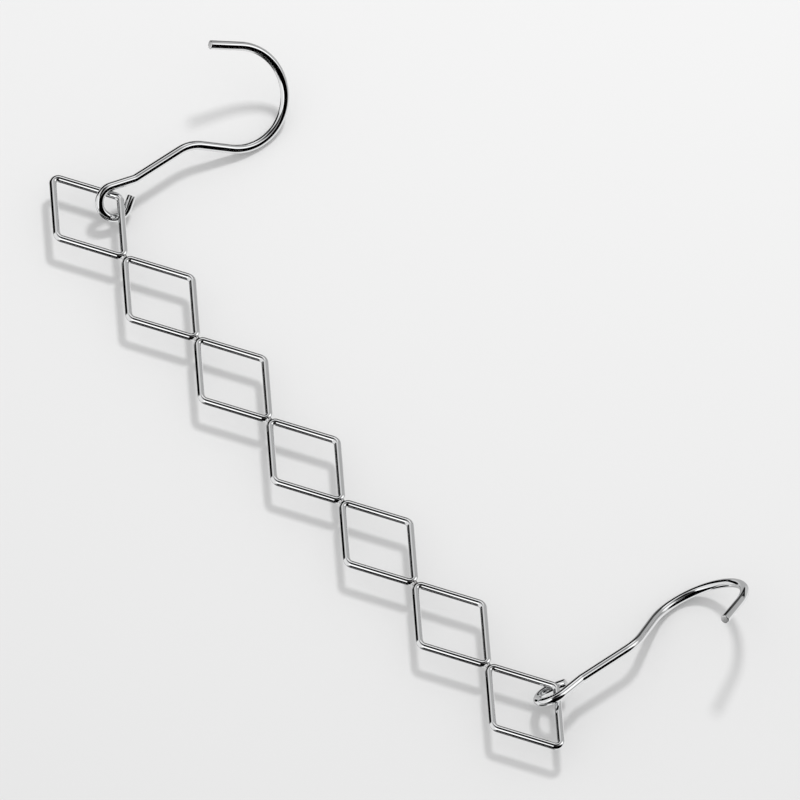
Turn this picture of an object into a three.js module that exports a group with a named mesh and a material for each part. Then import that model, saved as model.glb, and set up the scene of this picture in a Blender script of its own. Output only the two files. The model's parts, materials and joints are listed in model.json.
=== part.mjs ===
// Multi-hole clothes hanger of bright plated steel wire.
// A straight strip of diamond rings, welded corner to corner, is carried by two question-mark hooks.
// Each hook ends in an open eye that links loosely round the side corner of an end diamond.
// Millimetres, +Z up. X runs along the strip and Y across it, towards the hooks.
// The strip is level, both hooks lean until their bows lie on the surface under it, and the origin is
// on that surface, in the middle of the whole outline.

import * as THREE from 'three';

const degrees = THREE.MathUtils.degToRad;

// Strip of diamonds
const diamondCount = 7;
const diamondPitch = 48.3; // from centre to centre along the strip
const diamondEndAngle = degrees(66.3); // between the wires at a welded corner
const ringWire = 3; // diameter
const ringEndBend = 2.1; // bend radius of the welded end corners, on the wire's centre line
const ringSideBend = 3.0; // bend radius of the free side corners, on the wire's centre line
const weldGap = 0.3; // between the outer faces of two rings, where the weld draws them together
const stripHeight = 9.7; // from the surface up to the rings' centre plane

// Hook, along the wire's centre line in the order of its bends, from the cut end of the eye
const hookWire = 3.6; // diameter
const eyeTail = 4.9; // straight cut end that leaves the eye open
const eyeRadius = 6.4;
const eyeSweep = degrees(234);
const eyeLeg = 10.4; // straight from the eye to the heel
const heelRadius = 5.6;
const heelAngle = degrees(14.3);
const shankLength = 21.7;
const neckRadius = 15.8;
const neckAngle = degrees(36.8);
const neckLeg = 13.1; // straight from the neck to the bow
const bowRadius = 20.8;
const bowSweep = degrees(184);
const tipLength = 13.6;
const cutChamfer = 0.35; // on both cut ends of the wire

// Link between an eye and a corner: the least gap between the two wires, and how far each eye has
// drifted from the middle of the corner, as a share of the way to where it bears on the ring's wire
const linkClearance = 0.3;
const hookPlaces = [
  { name: 'hook_1', diamond: 1, leansTo: 1, driftHeading: degrees(-58), driftShare: 0.8 },
  { name: 'hook_2', diamond: diamondCount, leansTo: -1, driftHeading: degrees(-20), driftShare: 1 },
];

// Facets
const sectionSides = 12;
const bendStep = degrees(10);
const seatStep = degrees(3); // between the points round the eye where its gap to the corner is measured

// How closely the seat of an eye is found, as a share of the link clearance
const seatErrorShare = 0.03;

const plating = {
  ring: new THREE.MeshStandardMaterial({ color: 0xc9ccd0, roughness: 0.12, metalness: 1 }),
  hook: new THREE.MeshStandardMaterial({ color: 0xc4c7cc, roughness: 0.1, metalness: 1 }),
};

// A wire's centre line in its own plane, as a bending machine makes it: each station holds a point and
// the heading of the wire there. A positive angle bends the wire to the left.
class WireWalk {
  constructor(x, y, heading) {
    this.stations = [{ x, y, heading }];
  }

  straight(length) {
    const { x, y, heading } = this.stations.at(-1);
    this.stations.push({ x: x + length * Math.cos(heading), y: y + length * Math.sin(heading), heading });
    return this;
  }

  bend(radius, angle) {
    const { x, y, heading } = this.stations.at(-1);
    const side = Math.sign(angle);
    const centreX = x - side * radius * Math.sin(heading);
    const centreY = y + side * radius * Math.cos(heading);
    const steps = Math.ceil(Math.abs(angle) / bendStep);
    for (let step = 1; step <= steps; step += 1) {
      const turned = heading + (angle * step) / steps;
      this.stations.push({
        x: centreX + side * radius * Math.sin(turned),
        y: centreY - side * radius * Math.cos(turned),
        heading: turned,
      });
    }
    return this;
  }
}

// Section of the wire at a station: a polygon whose flats stand at the wire's true radius, with one
// flat to each side of the wire and one to each face of its plane. An inset narrows a cut end, and
// along moves the section on from its station.
function wireSection({ x, y, heading }, radius, along = 0, inset = 0) {
  const left = new THREE.Vector3(-Math.sin(heading), Math.cos(heading), 0);
  const centre = new THREE.Vector3(x + along * Math.cos(heading), y + along * Math.sin(heading), 0);
  const cornerRadius = (radius - inset) / Math.cos(Math.PI / sectionSides);
  const points = [];
  for (let side = 0; side < sectionSides; side += 1) {
    const angle = ((side + 0.5) * 2 * Math.PI) / sectionSides;
    const point = centre.clone().addScaledVector(left, cornerRadius * Math.cos(angle));
    point.z += cornerRadius * Math.sin(angle);
    points.push(point);
  }
  return { centre, points };
}

// Solid through a list of sections, closed on itself or capped at both ends
function solidThrough(sections, closed) {
  const positions = sections.flatMap(({ points }) => points.flatMap((point) => point.toArray()));
  const faces = [];
  const spans = closed ? sections.length : sections.length - 1;
  for (let span = 0; span < spans; span += 1) {
    const near = span * sectionSides;
    const far = ((span + 1) % sections.length) * sectionSides;
    for (let side = 0; side < sectionSides; side += 1) {
      const next = (side + 1) % sectionSides;
      faces.push(near + side, near + next, far + next, near + side, far + next, far + side);
    }
  }
  if (!closed) {
    const last = (sections.length - 1) * sectionSides;
    const startCentre = sections.length * sectionSides;
    positions.push(...sections[0].centre.toArray(), ...sections.at(-1).centre.toArray());
    for (let side = 0; side < sectionSides; side += 1) {
      const next = (side + 1) % sectionSides;
      faces.push(startCentre, next, side, startCentre + 1, last + side, last + next);
    }
  }
  const geometry = new THREE.BufferGeometry();
  geometry.setAttribute('position', new THREE.Float32BufferAttribute(positions, 3));
  geometry.setIndex(faces);
  geometry.computeVertexNormals();
  return geometry;
}

// Half angle and reach of a diamond. The reach is from its centre to the sharp end corner of the wire's
// centre line, so that the outer faces of the rounded corners stand half the weld gap short of half
// the pitch.
const endHalfAngle = diamondEndAngle / 2;
const cornerSetback = ringEndBend * (1 / Math.sin(endHalfAngle) - 1);
const diamondReach = (diamondPitch - weldGap) / 2 - ringWire / 2 + cornerSetback;
const diamondSide = diamondReach / Math.cos(endHalfAngle);
const diamondHalfWidth = diamondReach * Math.tan(endHalfAngle);
const sideCornerSetback = ringSideBend * (1 / Math.cos(endHalfAngle) - 1);

// One diamond: four straights, two blunt side corners and two sharp end corners
function ringWalk() {
  const endTangent = ringEndBend / Math.tan(endHalfAngle);
  const sideTangent = ringSideBend * Math.tan(endHalfAngle);
  const straight = diamondSide - endTangent - sideTangent;
  const startX = endTangent * Math.cos(endHalfAngle) - diamondReach;
  const walk = new WireWalk(startX, -endTangent * Math.sin(endHalfAngle), -endHalfAngle);
  for (let half = 0; half < 2; half += 1) {
    walk.straight(straight).bend(ringSideBend, diamondEndAngle);
    walk.straight(straight).bend(ringEndBend, Math.PI - diamondEndAngle);
  }
  walk.stations.pop();
  return walk;
}

function ringGeometry() {
  const sections = ringWalk().stations.map((station) => wireSection(station, ringWire / 2));
  return solidThrough(sections, true);
}

// One hook, with its eye's centre at the origin and its shank along +Y
function hookWalk() {
  const startHeading = Math.PI / 2 - heelAngle + eyeSweep;
  const startX = -eyeRadius * Math.sin(startHeading) - eyeTail * Math.cos(startHeading);
  const startY = eyeRadius * Math.cos(startHeading) - eyeTail * Math.sin(startHeading);
  return new WireWalk(startX, startY, startHeading)
    .straight(eyeTail)
    .bend(eyeRadius, -eyeSweep)
    .straight(eyeLeg)
    .bend(heelRadius, heelAngle)
    .straight(shankLength)
    .bend(neckRadius, -neckAngle)
    .straight(neckLeg)
    .bend(bowRadius, bowSweep)
    .straight(tipLength);
}

function hookGeometry() {
  const { stations } = hookWalk();
  const radius = hookWire / 2;
  const sections = stations.slice(1, -1).map((station) => wireSection(station, radius));
  sections.unshift(
    wireSection(stations[0], radius, 0, cutChamfer),
    wireSection(stations[0], radius, cutChamfer),
  );
  sections.push(
    wireSection(stations.at(-1), radius, -cutChamfer),
    wireSection(stations.at(-1), radius, 0, cutChamfer),
  );
  return solidThrough(sections, false);
}

// Lean of both hooks about their shanks: the bow goes down until it lies on the surface
const bowReach = Math.max(...hookWalk().stations.map(({ x }) => x));
const lean = Math.asin((stripHeight - hookWire / 2) / bowReach);

// Distance from a point to the centre line of a diamond, both in the diamond's own frame
function distanceToRing(point, corners) {
  let least = Infinity;
  corners.forEach((corner, index) => {
    const side = new THREE.Line3(corner, corners[(index + 1) % corners.length]);
    const nearest = side.closestPointToPoint(point, true, new THREE.Vector3());
    least = Math.min(least, nearest.distanceTo(point));
  });
  return least;
}

// Least gap between the turning eye and the ring's wire, for an eye centred at a given place
function eyeGap(centre, turn, corners) {
  let least = Infinity;
  for (let angle = 0; angle < 2 * Math.PI; angle += seatStep) {
    const point = new THREE.Vector3(eyeRadius * Math.cos(angle), eyeRadius * Math.sin(angle), 0);
    point.applyEuler(turn).add(centre);
    least = Math.min(least, distanceToRing(point, corners));
  }
  return least - (hookWire + ringWire) / 2;
}

// Halves the stretch from 0 to a length until nothing is left between the furthest place that suits
// and the first that doesn't
function furthest(length, suits) {
  let near = 0;
  let far = length;
  let middle = far / 2;
  while (near < middle && middle < far) {
    if (suits(middle)) {
      near = middle;
    } else {
      far = middle;
    }
    middle = (near + far) / 2;
  }
  return near;
}

const seatError = seatErrorShare * linkClearance;

// Distance that an eye can drift before it bears on the ring's wire. Each step takes up the gap that
// is left, so that the eye can't pass through the wire.
function driftToBearing(gapAfter) {
  let distance = 0;
  let left = gapAfter(distance) - linkClearance;
  while (left > seatError && distance < eyeRadius) {
    distance += left;
    left = gapAfter(distance) - linkClearance;
  }
  return distance;
}

// Centre of an eye in its diamond's frame. The middle of its play is where the gap all round is
// widest, and it drifts from there until the two wires are the link clearance apart.
function seatedEye(turn, driftHeading, driftShare) {
  const corners = ringWalk().stations.map(({ x, y }) => new THREE.Vector3(x, y, 0));
  const apex = diamondHalfWidth - sideCornerSetback;
  const inset = (depth) => new THREE.Vector3(0, apex - depth, 0);
  const gapAt = (depth) => eyeGap(inset(depth), turn, corners);
  const middle = inset(furthest(eyeRadius, (depth) => gapAt(depth + seatError) > gapAt(depth)));
  const along = new THREE.Vector3(Math.cos(driftHeading), Math.sin(driftHeading), 0);
  const drifted = (distance) => middle.clone().addScaledVector(along, distance);
  const bearing = driftToBearing((distance) => eyeGap(drifted(distance), turn, corners));
  return drifted(driftShare * bearing);
}

const diamondX = (diamond) => (diamond - (diamondCount + 1) / 2) * diamondPitch;

function buildStrip() {
  const strip = new THREE.Group();
  for (let diamond = 1; diamond <= diamondCount; diamond += 1) {
    const ring = new THREE.Mesh(ringGeometry(), plating.ring);
    ring.name = `diamond_ring_${diamond}`;
    ring.position.x = diamondX(diamond);
    strip.add(ring);
  }
  strip.position.z = stripHeight;
  return strip;
}

// A hook on its diamond. The group's origin is the eye's centre, which the hook turns about.
function buildHook({ name, diamond, leansTo, driftHeading, driftShare }) {
  const pivot = new THREE.Group();
  pivot.rotation.y = leansTo > 0 ? lean : Math.PI - lean;
  pivot.position.copy(seatedEye(pivot.rotation, driftHeading, driftShare));
  pivot.position.x += diamondX(diamond);
  pivot.position.z += stripHeight;
  const hook = new THREE.Mesh(hookGeometry(), plating.hook);
  hook.name = name;
  pivot.add(hook);
  return pivot;
}

// Moves the finished hanger so that the origin is under the middle of its outline, on the surface
function centreOnSurface(hanger) {
  const outline = new THREE.Box3().setFromObject(hanger, true);
  const middle = outline.getCenter(new THREE.Vector3());
  hanger.position.set(-middle.x, -middle.y, -outline.min.z);
  return hanger;
}

const hanger = new THREE.Group();
hanger.add(buildStrip(), ...hookPlaces.map(buildHook));

export default centreOnSurface(hanger);
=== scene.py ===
"""Multi-hole clothes hanger of bright plated wire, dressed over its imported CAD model.

Seven diamond rings, welded corner to corner into a level strip, and two question-mark hooks whose open
eyes link round the side corners of the end diamonds. All lengths are metres, in the CAD model's frame.
"""

import json
import logging
import math
from dataclasses import dataclass, field
from enum import Enum
import bmesh
import bpy
from mathutils import Matrix, Vector

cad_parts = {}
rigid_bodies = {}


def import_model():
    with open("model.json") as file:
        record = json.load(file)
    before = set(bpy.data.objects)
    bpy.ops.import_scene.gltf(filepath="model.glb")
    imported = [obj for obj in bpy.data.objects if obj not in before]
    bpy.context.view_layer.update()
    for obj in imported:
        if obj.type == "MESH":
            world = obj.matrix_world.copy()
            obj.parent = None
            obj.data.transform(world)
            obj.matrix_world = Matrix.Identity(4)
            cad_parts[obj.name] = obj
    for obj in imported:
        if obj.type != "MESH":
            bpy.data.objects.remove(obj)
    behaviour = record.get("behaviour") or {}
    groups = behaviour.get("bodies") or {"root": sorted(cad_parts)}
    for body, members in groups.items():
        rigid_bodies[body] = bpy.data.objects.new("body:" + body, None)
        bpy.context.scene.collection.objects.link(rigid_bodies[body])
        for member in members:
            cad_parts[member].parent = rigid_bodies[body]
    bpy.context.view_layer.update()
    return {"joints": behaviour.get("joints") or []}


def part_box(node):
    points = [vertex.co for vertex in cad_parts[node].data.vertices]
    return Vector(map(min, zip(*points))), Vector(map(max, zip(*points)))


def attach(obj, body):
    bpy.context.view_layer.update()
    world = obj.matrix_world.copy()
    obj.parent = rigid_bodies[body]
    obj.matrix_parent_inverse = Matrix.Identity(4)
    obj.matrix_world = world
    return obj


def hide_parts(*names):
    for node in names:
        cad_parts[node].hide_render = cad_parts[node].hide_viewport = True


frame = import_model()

MM = 0.001
WIRE_PLACE = "drawn_wire"
QUAD_CORNERS = 4
log = logging.getLogger("hanger")


# Wire work


@dataclass(frozen=True)
class Leg:
    """One stretch of a wire's centre line in its own plane: a straight, or a bend of constant radius.

    heading is the wire's direction at its start, and turn is how far the stretch bends, positive to the
    left and 0 on a straight. along is the length of wire before this stretch.
    """

    start: Vector
    heading: float
    length: float
    turn: float
    along: float

    @property
    def forward(self) -> Vector:
        """Direction of the wire at the start of the stretch."""
        return Vector((math.cos(self.heading), math.sin(self.heading), 0))

    @property
    def left(self) -> Vector:
        """Direction to the left of the wire at the start of the stretch."""
        return Vector((-math.sin(self.heading), math.cos(self.heading), 0))

    @property
    def centre(self) -> Vector:
        """Centre of a bend."""
        return self.start + self.left * (self.length / self.turn)

    def end(self) -> Vector:
        """Finds the point where the stretch ends.

        Returns:
            The point.
        """
        if not self.turn:
            return self.start + self.forward * self.length
        return self.centre + Matrix.Rotation(self.turn, 3, "Z") @ (self.start - self.centre)

    def straightened(self, point: Vector) -> Vector:
        """Gives a point's place beside this stretch as if the wire lay straight.

        Args:
            point: a point near the stretch.

        Returns:
            The sideways offset, the height over the wire's plane, and the length along the wire.
        """
        if not self.turn:
            away = point - self.start
            return Vector((away.dot(self.left), point.z, self.along + away.dot(self.forward)))
        radius = self.length / self.turn
        arm = point - self.centre
        arm.z = 0
        spoke = self.start - self.centre
        middle = Matrix.Rotation(self.turn / 2, 3, "Z") @ spoke
        turned = math.atan2(middle.cross(arm).z, middle.dot(arm)) + self.turn / 2
        offset = (abs(radius) - arm.length) * math.copysign(1, self.turn)
        return Vector((offset, point.z, self.along + radius * turned))

    def miss(self, point: Vector, wire_radius: float) -> float:
        """Distance by which a point is off the skin of this stretch of wire.

        Args:
            point: a point on the skin of some stretch.
            wire_radius: radius of the wire.

        Returns:
            The distance, with what the point lies beyond the ends of the stretch added to it.
        """
        laid = self.straightened(point)
        beyond = max(self.along - laid.z, laid.z - self.along - self.length, 0)
        return abs(math.hypot(laid.x, laid.y) - wire_radius) + beyond


class CentreLine:
    """A wire's centre line, laid out stretch by stretch as a bending machine makes it."""

    def __init__(self, start: Vector, heading: float) -> None:
        """Starts the line at a point, with the wire's heading there."""
        self.legs: list[Leg] = []
        self._point, self._heading, self.length = start, heading, 0.0

    def _add(self, length: float, turn: float) -> "CentreLine":
        """Adds a stretch at the end of the line.

        Args:
            length: length of wire in the stretch.
            turn: angle that it bends to the left, or 0.

        Returns:
            The line itself.
        """
        leg = Leg(self._point, self._heading, length, turn, self.length)
        self.legs.append(leg)
        self._point, self._heading = leg.end(), self._heading + turn
        self.length += length
        return self

    def straight(self, length: float) -> "CentreLine":
        """Adds a straight and returns the line."""
        return self._add(length, 0.0)

    def bend(self, radius: float, turn: float) -> "CentreLine":
        """Adds a bend, positive to the left, and returns the line."""
        return self._add(radius * abs(turn), turn)


def edit(piece: bpy.types.Object) -> bmesh.types.BMesh:
    """Selects one piece alone and opens it in edit mode.

    Args:
        piece: the piece to open.

    Returns:
        Its mesh, open for editing.
    """
    if bpy.context.object and bpy.context.object.mode != "OBJECT":
        bpy.ops.object.mode_set(mode="OBJECT")
    bpy.ops.object.select_all(action="DESELECT")
    piece.select_set(True)
    bpy.context.view_layer.objects.active = piece
    bpy.ops.object.mode_set(mode="EDIT")
    return bmesh.from_edit_mesh(piece.data)


def added(name: str) -> bpy.types.Object:
    """Names the primitive that was just added and puts its place into its mesh.

    Args:
        name: the name of the piece.

    Returns:
        The piece, at the origin and unturned.
    """
    piece = bpy.context.object
    piece.name = piece.data.name = name
    bpy.ops.object.transform_apply(location=True, rotation=True, scale=True)
    return piece


def copied(piece: bpy.types.Object, name: str, place: Matrix) -> bpy.types.Object:
    """Copies a piece with its own mesh.

    Args:
        piece: the piece to copy.
        name: the name of the copy.
        place: the move and turn that are put into the copy's mesh.

    Returns:
        The copy, at the origin and unturned.
    """
    twin = bpy.data.objects.new(name, piece.data.copy())
    twin.data.name = name
    twin.data.transform(place)
    twin.data.update()
    bpy.context.scene.collection.objects.link(twin)
    return twin


@dataclass(frozen=True)
class Wire:
    """A round wire that is drawn along a centre line from one cross-section."""

    radius: float
    line: CentreLine
    closed: bool
    sides: int = 40
    bend_step: float = math.radians(4)
    cut_bevel: float = 0.3 * MM
    cut_segments: int = 3
    rim_share: float = 1.01
    crease_angle: float = math.radians(35)
    merge_distance: float = 0.001 * MM

    def make(self, name: str) -> bpy.types.Object:
        """Draws the wire.

        Args:
            name: the name of the piece.

        Returns:
            The piece, with each face corner's place on the straightened wire.
        """
        first = self.line.legs[0]
        bpy.ops.object.select_all(action="DESELECT")
        bpy.ops.mesh.primitive_circle_add(
            vertices=self.sides,
            radius=self.radius,
            fill_type="NOTHING",
            location=first.start,
            rotation=(math.pi / 2, 0, first.heading + math.pi / 2),
        )
        piece = added(name)
        edit(piece)
        bpy.ops.mesh.select_all(action="SELECT")
        for leg in self.line.legs:
            self._draw(leg)
        if self.closed:
            bpy.ops.mesh.select_all(action="SELECT")
            bpy.ops.mesh.remove_doubles(threshold=self.merge_distance)
        else:
            self._cap(piece)
        bpy.ops.mesh.select_all(action="SELECT")
        bpy.ops.mesh.normals_make_consistent(inside=False)
        bpy.ops.object.mode_set(mode="OBJECT")
        bpy.ops.object.shade_smooth_by_angle(angle=self.crease_angle)
        self._lay_straight(piece.data)
        return piece

    def _draw(self, leg: Leg) -> None:
        """Draws the selected cross-section on along one stretch of the centre line.

        Args:
            leg: the stretch, which starts at the cross-section.
        """
        if not leg.turn:
            step = leg.end() - leg.start
            bpy.ops.mesh.extrude_region_move(TRANSFORM_OT_translate={"value": step})
            return
        bpy.ops.mesh.spin(
            steps=math.ceil(abs(leg.turn) / self.bend_step),
            angle=-leg.turn,
            center=leg.centre,
            axis=(0, 0, 1),
            use_auto_merge=False,
        )

    def _cap(self, piece: bpy.types.Object) -> None:
        """Closes both cut ends and takes the sharp edge off them.

        Args:
            piece: the wire, open in edit mode.
        """
        mesh = bmesh.from_edit_mesh(piece.data)
        last = self.line.legs[-1]
        for end in (self.line.legs[0].start, last.end()):
            bpy.ops.mesh.select_all(action="DESELECT")
            for edge in mesh.edges:
                edge.select = edge.is_boundary and all(
                    (vertex.co - end).length < self.radius * self.rim_share for vertex in edge.verts
                )
            bpy.ops.mesh.edge_face_add()
            bpy.ops.mesh.bevel(offset=self.cut_bevel, segments=self.cut_segments, affect="EDGES")
            mesh = bmesh.from_edit_mesh(piece.data)

    def _lay_straight(self, mesh: bpy.types.Mesh) -> None:
        """Stores each face corner's place on the straightened wire, for marks that follow the wire.

        Args:
            mesh: the mesh of the finished wire.
        """
        store = mesh.attributes.new(WIRE_PLACE, "FLOAT_VECTOR", "CORNER")
        for face in mesh.polygons:
            middle = face.center
            leg = min(self.line.legs, key=lambda each: each.miss(middle, self.radius))
            for corner, vertex in zip(face.loop_indices, face.vertices):
                store.data[corner].vector = leg.straightened(mesh.vertices[vertex].co)


# Finishes


class Mark(Enum):
    """The kinds of mark that the shared groups put on plated wire."""

    DRAWN = "drawn_lines"
    CLOUD = "polish_clouds"


def new_group(
    name: str, inputs: dict[str, float], outputs: tuple[str, ...]
) -> tuple[bpy.types.NodeTree, bpy.types.Node, bpy.types.Node]:
    """Starts a shader node group that reads a place.

    Args:
        name: the group's name.
        inputs: the names of its value inputs with their defaults. The place comes before them.
        outputs: the names of its value outputs.

    Returns:
        The group with its input and output nodes.
    """
    group = bpy.data.node_groups.new(name, "ShaderNodeTree")
    group.interface.new_socket("Vector", in_out="INPUT", socket_type="NodeSocketVector")
    for label, value in inputs.items():
        socket = group.interface.new_socket(label, in_out="INPUT", socket_type="NodeSocketFloat")
        socket.default_value = value
    for label in outputs:
        group.interface.new_socket(label, in_out="OUTPUT", socket_type="NodeSocketFloat")
    return group, group.nodes.new("NodeGroupInput"), group.nodes.new("NodeGroupOutput")


def noise(
    tree: bpy.types.NodeTree,
    place: bpy.types.NodeSocket,
    scale: bpy.types.NodeSocket,
    detail: float,
    roughness: float = 0.5,
) -> bpy.types.NodeSocket:
    """Adds a noise pattern.

    Args:
        tree: the tree that the node goes into.
        place: the socket with the place.
        scale: the socket with the pattern's scale.
        detail: how many finer layers the pattern has.
        roughness: how strong each finer layer is.

    Returns:
        The socket with the noise.
    """
    node = tree.nodes.new("ShaderNodeTexNoise")
    node.inputs["Detail"].default_value = detail
    node.inputs["Roughness"].default_value = roughness
    tree.links.new(place, node.inputs["Vector"])
    tree.links.new(scale, node.inputs["Scale"])
    return node.outputs["Fac"]


def spread(
    tree: bpy.types.NodeTree, value: bpy.types.NodeSocket, low: float, high: float
) -> bpy.types.NodeSocket:
    """Spreads a stretch of values over the whole of 0 to 1.

    Args:
        tree: the tree that the node goes into.
        value: the socket with the values.
        low: the value that becomes 0.
        high: the value that becomes 1.

    Returns:
        The socket with the spread values.
    """
    node = tree.nodes.new("ShaderNodeMapRange")
    node.inputs["From Min"].default_value = low
    node.inputs["From Max"].default_value = high
    tree.links.new(value, node.inputs["Value"])
    return node.outputs["Result"]


def drawn_lines() -> bpy.types.NodeTree:
    """Makes the group for the fine lines that the drawing die leaves along a wire.

    Returns:
        The group, which reads a place on the straightened wire.
    """
    tree, inlet, outlet = new_group(
        Mark.DRAWN.value, {"Around": 2600.0, "Stretch": 0.012}, ("Lines", "Height")
    )
    squeeze = tree.nodes.new("ShaderNodeCombineXYZ")
    tree.links.new(inlet.outputs["Stretch"], squeeze.inputs["Z"])
    squeeze.inputs["X"].default_value = squeeze.inputs["Y"].default_value = 1
    drawn = tree.nodes.new("ShaderNodeVectorMath")
    drawn.operation = "MULTIPLY"
    tree.links.new(inlet.outputs["Vector"], drawn.inputs[0])
    tree.links.new(squeeze.outputs["Vector"], drawn.inputs[1])
    grain = noise(tree, drawn.outputs["Vector"], inlet.outputs["Around"], detail=3, roughness=0.6)
    tree.links.new(spread(tree, grain, low=0.42, high=0.72), outlet.inputs["Lines"])
    tree.links.new(grain, outlet.inputs["Height"])
    return tree


def polish_clouds() -> bpy.types.NodeTree:
    """Makes the group for the slow waves, dull clouds and specks of a polished plating.

    Returns:
        The group, which reads a place on the piece.
    """
    tree, inlet, outlet = new_group(
        Mark.CLOUD.value, {"Scale": 220.0, "Speckle": 1500.0}, ("Cloud", "Specks", "Height")
    )
    cloud = noise(tree, inlet.outputs["Vector"], inlet.outputs["Scale"], detail=4)
    speck = noise(tree, inlet.outputs["Vector"], inlet.outputs["Speckle"], detail=1)
    tree.links.new(spread(tree, cloud, low=0.35, high=0.75), outlet.inputs["Cloud"])
    tree.links.new(spread(tree, speck, low=0.68, high=0.8), outlet.inputs["Specks"])
    tree.links.new(cloud, outlet.inputs["Height"])
    return tree


@dataclass(frozen=True)
class Plating:
    """A bright plated finish with drawn lines, clouds of dulled polish and tiny specks."""

    name: str
    colour: tuple[float, float, float]
    dulled: tuple[float, float, float]
    roughness: float
    roughest: float
    line_depth: float = 0.2e-6
    wave_depth: float = 1e-6
    follows_wire: bool = True

    def material(self, groups: dict[Mark, bpy.types.NodeTree]) -> bpy.types.Material:
        """Makes the material.

        Args:
            groups: the shared groups by the kind of mark that they make.

        Returns:
            The finished material.
        """
        made = bpy.data.materials.new(self.name)
        made.use_nodes = True
        tree = made.node_tree
        skin = tree.nodes["Principled BSDF"]
        skin.inputs["Metallic"].default_value = 1
        place = tree.nodes.new("ShaderNodeTexCoord").outputs["Object"]
        clouds = self._placed(tree, groups[Mark.CLOUD], place)
        marks = [(clouds, self.wave_depth)]
        worn = clouds.outputs["Cloud"]
        if self.follows_wire:
            laid = tree.nodes.new("ShaderNodeAttribute")
            laid.attribute_name = WIRE_PLACE
            lines = self._placed(tree, groups[Mark.DRAWN], laid.outputs["Vector"])
            marks.append((lines, self.line_depth))
            worn = self._mixed(tree, "MULTIPLY", worn, lines.outputs["Lines"])
        spotted = self._mixed(tree, "MAXIMUM", worn, clouds.outputs["Specks"])
        tint = tree.nodes.new("ShaderNodeMix")
        tint.data_type = "RGBA"
        tint.inputs["A"].default_value = (*self.colour, 1)
        tint.inputs["B"].default_value = (*self.dulled, 1)
        tree.links.new(spotted, tint.inputs["Factor"])
        tree.links.new(tint.outputs["Result"], skin.inputs["Base Color"])
        rough = tree.nodes.new("ShaderNodeMapRange")
        rough.inputs["To Min"].default_value = self.roughness
        rough.inputs["To Max"].default_value = self.roughest
        tree.links.new(spotted, rough.inputs["Value"])
        tree.links.new(rough.outputs["Result"], skin.inputs["Roughness"])
        tree.links.new(self._relief(tree, marks), skin.inputs["Normal"])
        return made

    @staticmethod
    def _placed(
        tree: bpy.types.NodeTree, group: bpy.types.NodeTree, place: bpy.types.NodeSocket
    ) -> bpy.types.Node:
        """Puts a shared group into a material.

        Args:
            tree: the material's nodes.
            group: the shared group.
            place: the socket with the place that the group reads.

        Returns:
            The node of the group.
        """
        node = tree.nodes.new("ShaderNodeGroup")
        node.node_tree = group
        tree.links.new(place, node.inputs["Vector"])
        return node

    @staticmethod
    def _mixed(
        tree: bpy.types.NodeTree,
        operation: str,
        one: bpy.types.NodeSocket,
        other: bpy.types.NodeSocket,
    ) -> bpy.types.NodeSocket:
        """Combines two masks.

        Args:
            tree: the material's nodes.
            operation: the math node's operation.
            one: the socket with the first mask.
            other: the socket with the second mask.

        Returns:
            The socket with the combined mask.
        """
        node = tree.nodes.new("ShaderNodeMath")
        node.operation = operation
        tree.links.new(one, node.inputs[0])
        tree.links.new(other, node.inputs[1])
        return node.outputs[0]

    @staticmethod
    def _relief(
        tree: bpy.types.NodeTree, marks: list[tuple[bpy.types.Node, float]]
    ) -> bpy.types.NodeSocket:
        """Lays the reliefs of all marks over one another.

        Args:
            tree: the material's nodes.
            marks: the marks' group nodes, each with the depth of its relief.

        Returns:
            The socket with the normal of the marked surface.
        """
        relief = None
        for group, depth in marks:
            bump = tree.nodes.new("ShaderNodeBump")
            bump.inputs["Distance"].default_value = depth
            tree.links.new(group.outputs["Height"], bump.inputs["Height"])
            if relief:
                tree.links.new(relief, bump.inputs["Normal"])
            relief = bump.outputs["Normal"]
        return relief


RING_PLATING = Plating("ring_plating", (0.84, 0.845, 0.85), (0.78, 0.785, 0.79), 0.035, 0.09)
HOOK_PLATING = Plating("hook_plating", (0.84, 0.845, 0.85), (0.78, 0.785, 0.79), 0.03, 0.08)
CUT_PLATING = Plating("cut_plating", (0.9, 0.9, 0.9), (0.8, 0.8, 0.8), 0.42, 0.55, follows_wire=False)
WELD_PLATING = Plating(
    "weld_plating",
    (0.76, 0.76, 0.765),
    (0.56, 0.555, 0.55),
    0.10,
    0.28,
    wave_depth=8e-6,
    follows_wire=False,
)


# The strip


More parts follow.
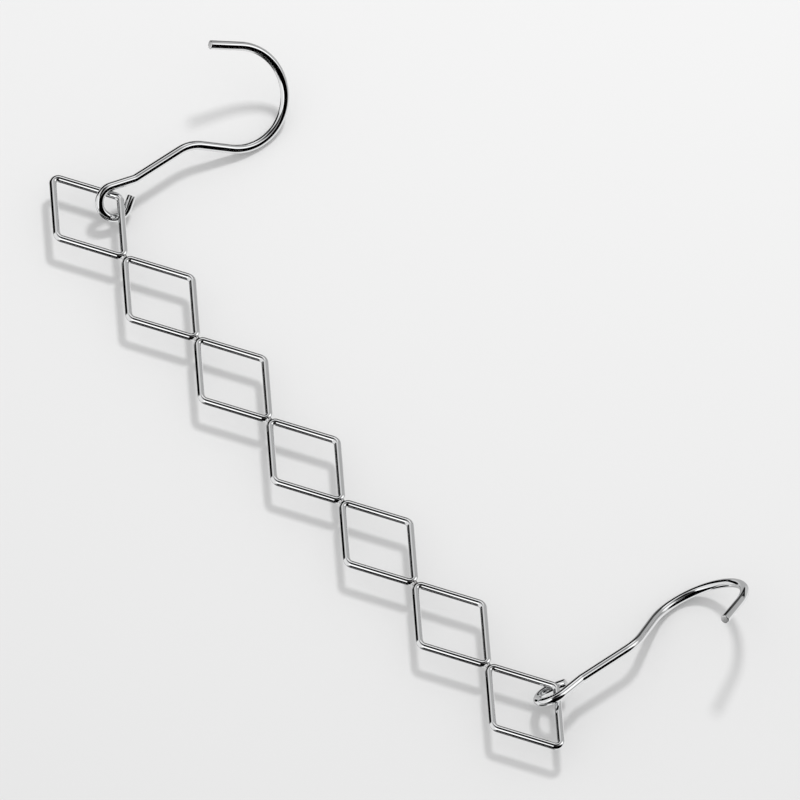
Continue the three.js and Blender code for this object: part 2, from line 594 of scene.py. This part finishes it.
@dataclass
class DiamondStrip:
    """The strip of diamond rings and the welds that join them corner to corner.

    side_bend is 0.1 mm over the CAD model's, so that the smooth corner stays inside the faceted one's box.
    """

    count: int = 7
    pitch: float = 48.3 * MM
    end_angle: float = math.radians(66.3)
    wire_radius: float = 1.5 * MM
    end_bend: float = 2.1 * MM
    side_bend: float = 3.1 * MM
    weld_gap: float = 0.3 * MM
    weld_radius: float = 1.19 * MM
    weld_reach: float = 1.1 * MM
    weld_flare: tuple[float, float] = (0.6, 0.17)
    weld_upset: float = 0.02
    weld_lobes: int = 5
    weld_sides: int = 32
    weld_cuts: int = 7
    weld_crease: float = math.radians(50)
    welds: list[bpy.types.Object] = field(default_factory=list)
    rings: list[bpy.types.Object] = field(default_factory=list)

    def centre_line(self) -> CentreLine:
        """Lays out one diamond about its centre, from the end of a welded corner round to itself.

        Returns:
            The centre line of one ring's wire, in the ring's own plane.
        """
        half = self.end_angle / 2
        setback = self.end_bend * (1 / math.sin(half) - 1)
        reach = (self.pitch - self.weld_gap) / 2 - self.wire_radius + setback
        end_tangent = self.end_bend / math.tan(half)
        side_tangent = self.side_bend * math.tan(half)
        straight = reach / math.cos(half) - end_tangent - side_tangent
        corner = Vector((end_tangent * math.cos(half) - reach, -end_tangent * math.sin(half), 0))
        line = CentreLine(corner, -half)
        for _ in range(2):
            line.straight(straight).bend(self.side_bend, self.end_angle)
            line.straight(straight).bend(self.end_bend, math.pi - self.end_angle)
        return line

    def build(self) -> None:
        """Makes one ring and one weld, and copies them along the strip."""
        ring = Wire(self.wire_radius, self.centre_line(), closed=True).make("ring_pattern")
        weld = self._weld_pattern()
        for number in range(1, self.count + 1):
            node = f"diamond_ring_{number}"
            low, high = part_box(node)
            middle = (low + high) / 2
            twin = copied(ring, f"ring_{number}", Matrix.Translation(middle))
            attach(twin, "strip")
            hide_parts(node)
            self.rings.append(twin)
            log.info("ring %d at %.1f mm along the strip", number, middle.x / MM)
            if number < self.count:
                place = Matrix.Translation(middle + Vector((self.pitch / 2, 0, 0)))
                joint = copied(weld, f"weld_{number}", place)
                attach(joint, "strip")
                self.welds.append(joint)
                log.info("weld %d joins rings %d and %d", number, number, number + 1)
        for pattern in (ring, weld):
            bpy.data.objects.remove(pattern)

    def _weld_pattern(self) -> bpy.types.Object:
        """Makes one weld: a saddle that runs smoothly into both corners, with a little upset metal.

        Returns:
            The weld, about its own middle.
        """
        bpy.ops.object.select_all(action="DESELECT")
        bpy.ops.mesh.primitive_cylinder_add(
            vertices=self.weld_sides,
            radius=self.weld_radius,
            depth=2 * self.weld_reach,
            rotation=(0, math.pi / 2, 0),
        )
        piece = added("weld_pattern")
        mesh = edit(piece)
        bpy.ops.mesh.select_all(action="DESELECT")
        for edge in mesh.edges:
            edge.select = abs(edge.verts[0].co.x - edge.verts[1].co.x) > self.weld_reach
        bpy.ops.mesh.subdivide(number_cuts=self.weld_cuts)
        bpy.ops.object.mode_set(mode="OBJECT")
        for vertex in piece.data.vertices:
            share = (vertex.co.x / self.weld_reach) ** 2
            around = math.atan2(vertex.co.z, vertex.co.y)
            upset = self.weld_upset * math.sin(self.weld_lobes * around)
            vertex.co.y *= 1 + self.weld_flare[0] * share + upset
            vertex.co.z *= 1 + self.weld_flare[1] * share + upset
        bpy.ops.object.shade_smooth_by_angle(angle=self.weld_crease)
        return piece

    def dress(self, ring_plating: bpy.types.Material, weld_plating: bpy.types.Material) -> None:
        """Gives the rings and the welds their finishes.

        Args:
            ring_plating: the plating of the drawn wire.
            weld_plating: the plating over the weld metal.
        """
        for piece in self.rings:
            piece.data.materials.append(ring_plating)
        for piece in self.welds:
            piece.data.materials.append(weld_plating)


# The hooks


@dataclass
class Hooks:
    """Both question-mark hooks, bent alike and linked to the end diamonds by their open eyes."""

    wire_radius: float = 1.8 * MM
    eye_tail: float = 4.9 * MM
    eye_radius: float = 6.4 * MM
    eye_sweep: float = math.radians(234)
    eye_leg: float = 10.4 * MM
    heel_radius: float = 5.6 * MM
    heel_angle: float = math.radians(14.3)
    shank: float = 21.7 * MM
    neck_radius: float = 15.8 * MM
    neck_angle: float = math.radians(36.8)
    neck_leg: float = 13.1 * MM
    bow_radius: float = 20.8 * MM
    bow_sweep: float = math.radians(184)
    tip: float = 13.6 * MM
    pieces: list[bpy.types.Object] = field(default_factory=list)

    def centre_line(self) -> CentreLine:
        """Lays out a hook with its eye's centre at the origin and its shank along Y.

        Returns:
            The centre line of the hook's wire, from the end in the eye to the tip.
        """
        heading = math.pi / 2 - self.heel_angle + self.eye_sweep
        forward = Vector((math.cos(heading), math.sin(heading), 0))
        left = Vector((-forward.y, forward.x, 0))
        start = left * self.eye_radius - forward * self.eye_tail
        return (
            CentreLine(start, heading)
            .straight(self.eye_tail)
            .bend(self.eye_radius, -self.eye_sweep)
            .straight(self.eye_leg)
            .bend(self.heel_radius, self.heel_angle)
            .straight(self.shank)
            .bend(self.neck_radius, -self.neck_angle)
            .straight(self.neck_leg)
            .bend(self.bow_radius, self.bow_sweep)
            .straight(self.tip)
        )

    def build(self) -> None:
        """Makes one hook and copies it to each hinge, lying in the plane that the hinge is square to."""
        hook = Wire(self.wire_radius, self.centre_line(), closed=False).make("hook_pattern")
        along = Vector((0, 1, 0))
        for hinge in frame["joints"]:
            square = Vector(hinge["axis"]).normalized()
            turn = Matrix((along.cross(square), along, square)).transposed().to_4x4()
            place = Matrix.Translation(Vector(hinge["pos_m"])) @ turn
            node = hinge["child"]
            twin = copied(hook, f"{node}_wire", place)
            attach(twin, node)
            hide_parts(node)
            self.pieces.append(twin)
            log.info("%s hangs on %s", node, hinge["parent"])
        bpy.data.objects.remove(hook)

    def dress(self, plating: bpy.types.Material, cut_plating: bpy.types.Material) -> None:
        """Gives both hooks their finish, with a duller one on the sheared ends.

        Args:
            plating: the plating of the drawn wire.
            cut_plating: the plating over the two cut faces.
        """
        for piece in self.pieces:
            piece.data.materials.append(plating)
            piece.data.materials.append(cut_plating)
            for face in piece.data.polygons:
                face.material_index = int(face.loop_total > QUAD_CORNERS)


# The studio


@dataclass(frozen=True)
class Spot:
    """A soft box or a dark flag in the room that the polished wire mirrors.

    azimuth and elevation point at its middle, turned from +X towards +Y and up from the surface. reach
    is the angle from its middle to its edge, flatness is how much lower than wide it is, softness is
    the width of its edge as a share of the reach, and level is how bright it is.
    """

    azimuth: float
    elevation: float
    reach: float
    level: float
    flatness: float = 1.0
    softness: float = 0.3

    @property
    def middle(self) -> Vector:
        """Direction to the middle of the spot."""
        turn, rise = math.radians(self.azimuth), math.radians(self.elevation)
        return Vector((math.cos(turn) * math.cos(rise), math.sin(turn) * math.cos(rise), math.sin(rise)))


# Places, sizes and levels come from a least-squares fit of a rough model of the room to the tones across
# the photographed wires.
ROOM = (
    Spot(0, -36, 85, 0.89, 2.75, 0.1),
    Spot(49, 38, 23, 1.34, 1.06, 0.49),
    Spot(232, 76, 30, 0.01, 1.7, 0.81),
    Spot(332, 13, 69, 0.0, 1.46, 0.11),
    Spot(264, 35, 24, 1.44, 0.67, 0.18),
    Spot(224, 9, 53, 0.86, 0.96, 0.45),
    Spot(177, 17, 37, 0.0, 1.51, 0.18),
    Spot(199, -16, 15, 0.0, 0.67, 0.25),
    Spot(284, -48, 21, 0.0, 0.97, 0.14),
    Spot(144, 0, 50, 0.0, 3.81, 0.26),
    Spot(111, -14, 22, 0.59, 1.59, 0.25),
    Spot(156, 52, 11, 0.8, 1.28, 0.65),
    Spot(141, 6, 14, 0.1, 1.88, 0.38),
    Spot(140, 21, 11, 0.06, 0.98, 0.42),
    Spot(135, 44, 11, 1.16, 1.2, 0.62),
    Spot(3, 89, 16, 0.0, 2.04, 0.73),
)


@dataclass
class Studio:
    """The pale surface, the light, what the polished wire mirrors, and the camera.

    Past a lens of about 1700 mm a view from another side is empty, as its camera stands too far away.
    """

    view_azimuth: float = math.radians(52.9)
    view_elevation: float = math.radians(57.82)
    view_centre: Vector = field(default_factory=lambda: Vector((5.23, -0.28, 22.77)) * MM)
    view_width: float = 0.32
    lens: float = 1600.0
    nearest: float = 0.1
    farthest_share: float = 4.0
    floor_size: float = 30.0
    floor_colour: tuple[float, float, float] = (0.80, 0.80, 0.80)
    sky_colour: tuple[float, float, float] = (0.82, 0.82, 0.82)
    wall_level: float = 0.46
    fill_strength: float = 0.765
    key_power: float = 9.2
    key_size: float = 0.265
    key_place: Vector = field(default_factory=lambda: Vector((-0.49, 0.715, 1.326)))

    def build(self) -> None:
        """Sets up the whole studio."""
        self._floor()
        self._key()
        self._surroundings()
        self._camera()
        log.info("studio is set")

    @staticmethod
    def _matt(name: str, colour: tuple[float, float, float]) -> bpy.types.Material:
        """Makes a plain matt paint.

        Args:
            name: the paint's name.
            colour: its colour.

        Returns:
            The finished material.
        """
        paint = bpy.data.materials.new(name)
        paint.use_nodes = True
        skin = paint.node_tree.nodes["Principled BSDF"]
        skin.inputs["Base Color"].default_value = (*colour, 1)
        skin.inputs["Roughness"].default_value = 1
        skin.inputs["Specular IOR Level"].default_value = 0
        return paint

    def _floor(self) -> None:
        """Adds the pale surface that the hanger lies on."""
        bpy.ops.object.select_all(action="DESELECT")
        bpy.ops.mesh.primitive_plane_add(size=self.floor_size)
        floor = added("pale_surface")
        floor.data.materials.append(self._matt("pale_surface", self.floor_colour))
        floor.visible_glossy = False

    def _key(self) -> None:
        """Adds the key lamp, a round soft box above and behind the hanger."""
        lamp = bpy.data.lights.new("key_light", "AREA")
        lamp.shape = "DISK"
        lamp.size = self.key_size
        lamp.energy = self.key_power
        key = bpy.data.objects.new("key_light", lamp)
        key.location = self.key_place
        key.rotation_euler = self.key_place.to_track_quat("Z", "Y").to_euler()
        key.visible_camera = key.visible_glossy = False
        bpy.context.scene.collection.objects.link(key)

    def _surroundings(self) -> None:
        """Makes a plain fill light, and for the polished wire a pale room with soft boxes and flags."""
        world = bpy.data.worlds.new("studio")
        bpy.context.scene.world = world
        world.use_nodes = True
        tree = world.node_tree
        tree.nodes.clear()
        place = tree.nodes.new("ShaderNodeTexCoord").outputs["Generated"]
        wall = tree.nodes.new("ShaderNodeRGB")
        wall.outputs[0].default_value = (self.wall_level, self.wall_level, self.wall_level, 1)
        room = wall.outputs[0]
        for spot in ROOM:
            room = self._with_spot(tree, place, room, spot)
        seen = tree.nodes.new("ShaderNodeBackground")
        seen.inputs["Color"].default_value = (*self.sky_colour, 1)
        mirrored = tree.nodes.new("ShaderNodeBackground")
        tree.links.new(room, mirrored.inputs["Color"])
        fill = tree.nodes.new("ShaderNodeBackground")
        fill.inputs["Color"].default_value = (1, 1, 1, 1)
        fill.inputs["Strength"].default_value = self.fill_strength
        path = tree.nodes.new("ShaderNodeLightPath")
        inner = tree.nodes.new("ShaderNodeMixShader")
        tree.links.new(path.outputs["Is Glossy Ray"], inner.inputs["Fac"])
        tree.links.new(fill.outputs[0], inner.inputs[1])
        tree.links.new(mirrored.outputs[0], inner.inputs[2])
        outer = tree.nodes.new("ShaderNodeMixShader")
        tree.links.new(path.outputs["Is Camera Ray"], outer.inputs["Fac"])
        tree.links.new(inner.outputs[0], outer.inputs[1])
        tree.links.new(seen.outputs[0], outer.inputs[2])
        tree.links.new(outer.outputs[0], tree.nodes.new("ShaderNodeOutputWorld").inputs["Surface"])

    @staticmethod
    def _with_spot(
        tree: bpy.types.NodeTree,
        place: bpy.types.NodeSocket,
        room: bpy.types.NodeSocket,
        spot: Spot,
    ) -> bpy.types.NodeSocket:
        """Adds a spot to the room.

        Args:
            tree: the world's nodes.
            place: the socket with the direction that is looked along.
            room: the socket with the colours of the room so far.
            spot: the spot to add.

        Returns:
            The socket with the colours of the room and this spot.
        """
        off = tree.nodes.new("ShaderNodeVectorMath")
        off.operation = "SUBTRACT"
        tree.links.new(place, off.inputs[0])
        off.inputs[1].default_value = spot.middle
        squeezed = tree.nodes.new("ShaderNodeVectorMath")
        squeezed.operation = "MULTIPLY"
        tree.links.new(off.outputs["Vector"], squeezed.inputs[0])
        squeezed.inputs[1].default_value = (1, 1, spot.flatness)
        far = tree.nodes.new("ShaderNodeVectorMath")
        far.operation = "LENGTH"
        tree.links.new(squeezed.outputs["Vector"], far.inputs[0])
        reach = 2 * math.sin(math.radians(spot.reach) / 2)
        edge = tree.nodes.new("ShaderNodeMapRange")
        edge.interpolation_type = "SMOOTHSTEP"
        edge.inputs["From Min"].default_value = reach * (1 + spot.softness / 2)
        edge.inputs["From Max"].default_value = reach * (1 - spot.softness / 2)
        tree.links.new(far.outputs["Value"], edge.inputs["Value"])
        mix = tree.nodes.new("ShaderNodeMix")
        mix.data_type = "RGBA"
        tree.links.new(edge.outputs["Result"], mix.inputs["Factor"])
        tree.links.new(room, mix.inputs["A"])
        mix.inputs["B"].default_value = (spot.level, spot.level, spot.level, 1)
        return mix.outputs["Result"]

    def _camera(self) -> None:
        """Adds the camera: a very long lens from far away, at the photograph's angle."""
        lens = bpy.data.cameras.new("camera")
        lens.lens = self.lens
        distance = self.view_width * self.lens / lens.sensor_width
        flat = math.cos(self.view_elevation)
        back = Vector((
            math.sin(self.view_azimuth) * flat,
            -math.cos(self.view_azimuth) * flat,
            math.sin(self.view_elevation),
        ))
        lens.clip_start, lens.clip_end = self.nearest, self.farthest_share * distance
        camera = bpy.data.objects.new("camera", lens)
        camera.location = self.view_centre + back * distance
        camera.rotation_euler = back.to_track_quat("Z", "Y").to_euler()
        bpy.context.scene.collection.objects.link(camera)
        bpy.context.scene.camera = camera


def main() -> None:
    """Builds and dresses the strip and the hooks, and sets up the studio."""
    logging.basicConfig(level=logging.INFO)
    groups = {Mark.DRAWN: drawn_lines(), Mark.CLOUD: polish_clouds()}
    strip = DiamondStrip()
    strip.build()
    strip.dress(RING_PLATING.material(groups), WELD_PLATING.material(groups))
    hooks = Hooks()
    hooks.build()
    hooks.dress(HOOK_PLATING.material(groups), CUT_PLATING.material(groups))
    Studio().build()
    bpy.context.scene.view_settings.view_transform = "Standard"


if __name__ == "__main__":
    main()
